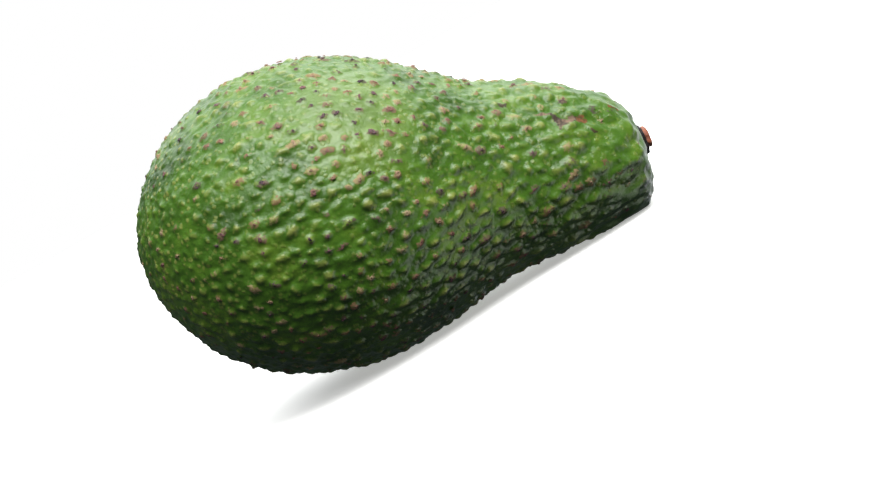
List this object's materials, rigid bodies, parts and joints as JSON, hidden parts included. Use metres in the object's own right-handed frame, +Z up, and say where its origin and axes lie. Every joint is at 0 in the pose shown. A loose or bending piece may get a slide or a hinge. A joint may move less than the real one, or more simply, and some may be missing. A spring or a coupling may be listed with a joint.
{
  "type": "avocado",
  "caption": "Pear-shaped green avocado with a pebbled skin and a dry stem button, lying on its side.",
  "frame": {"origin": "bottom centre of the whole object's box, on the surface that it lies on", "axes": "+X towards the stem end, level; +Z up; the fruit lies on its belly and leans neck down"},
  "size_m": [0.1222, 0.0746, 0.0759],
  "materials": {
    "skin": "waxy semi-gloss, pebbled green skin with corky brown flecks",
    "cork": "dry, matt, reddish-brown cork"
  },
  "bodies": {
    "root": {"fruit": "skin", "stem_button": "cork"}
  },
  "joints": []
}
